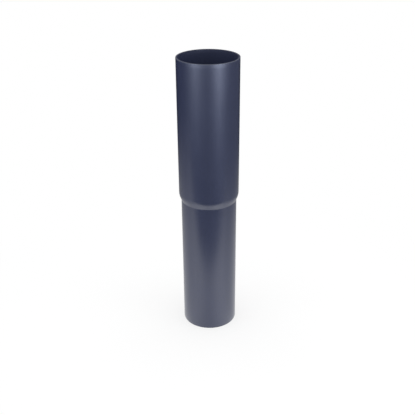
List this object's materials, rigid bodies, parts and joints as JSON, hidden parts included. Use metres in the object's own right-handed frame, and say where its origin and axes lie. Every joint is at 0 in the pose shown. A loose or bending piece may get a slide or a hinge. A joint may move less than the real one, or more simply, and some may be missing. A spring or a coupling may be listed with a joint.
{
  "type": "downpipe",
  "caption": "Short round rainwater downpipe, open right through: a plain spigot pipe below that widens through a rounded shoulder into a long push-in socket above.",
  "frame": {"origin": "centre of the spigot's square end, on the pipe's axis", "axes": "+Z along the axis, up from the spigot to the socket's mouth; +X and +Y are any two directions across the round pipe"},
  "size_m": [0.0864, 0.0864, 0.4104],
  "materials": {
    "pipe_plastic": "dark blue-grey extruded plastic with a satin skin, a duller bore and dull sawn ends"
  },
  "bodies": {
    "root": {"downpipe": "pipe_plastic"}
  },
  "joints": []
}
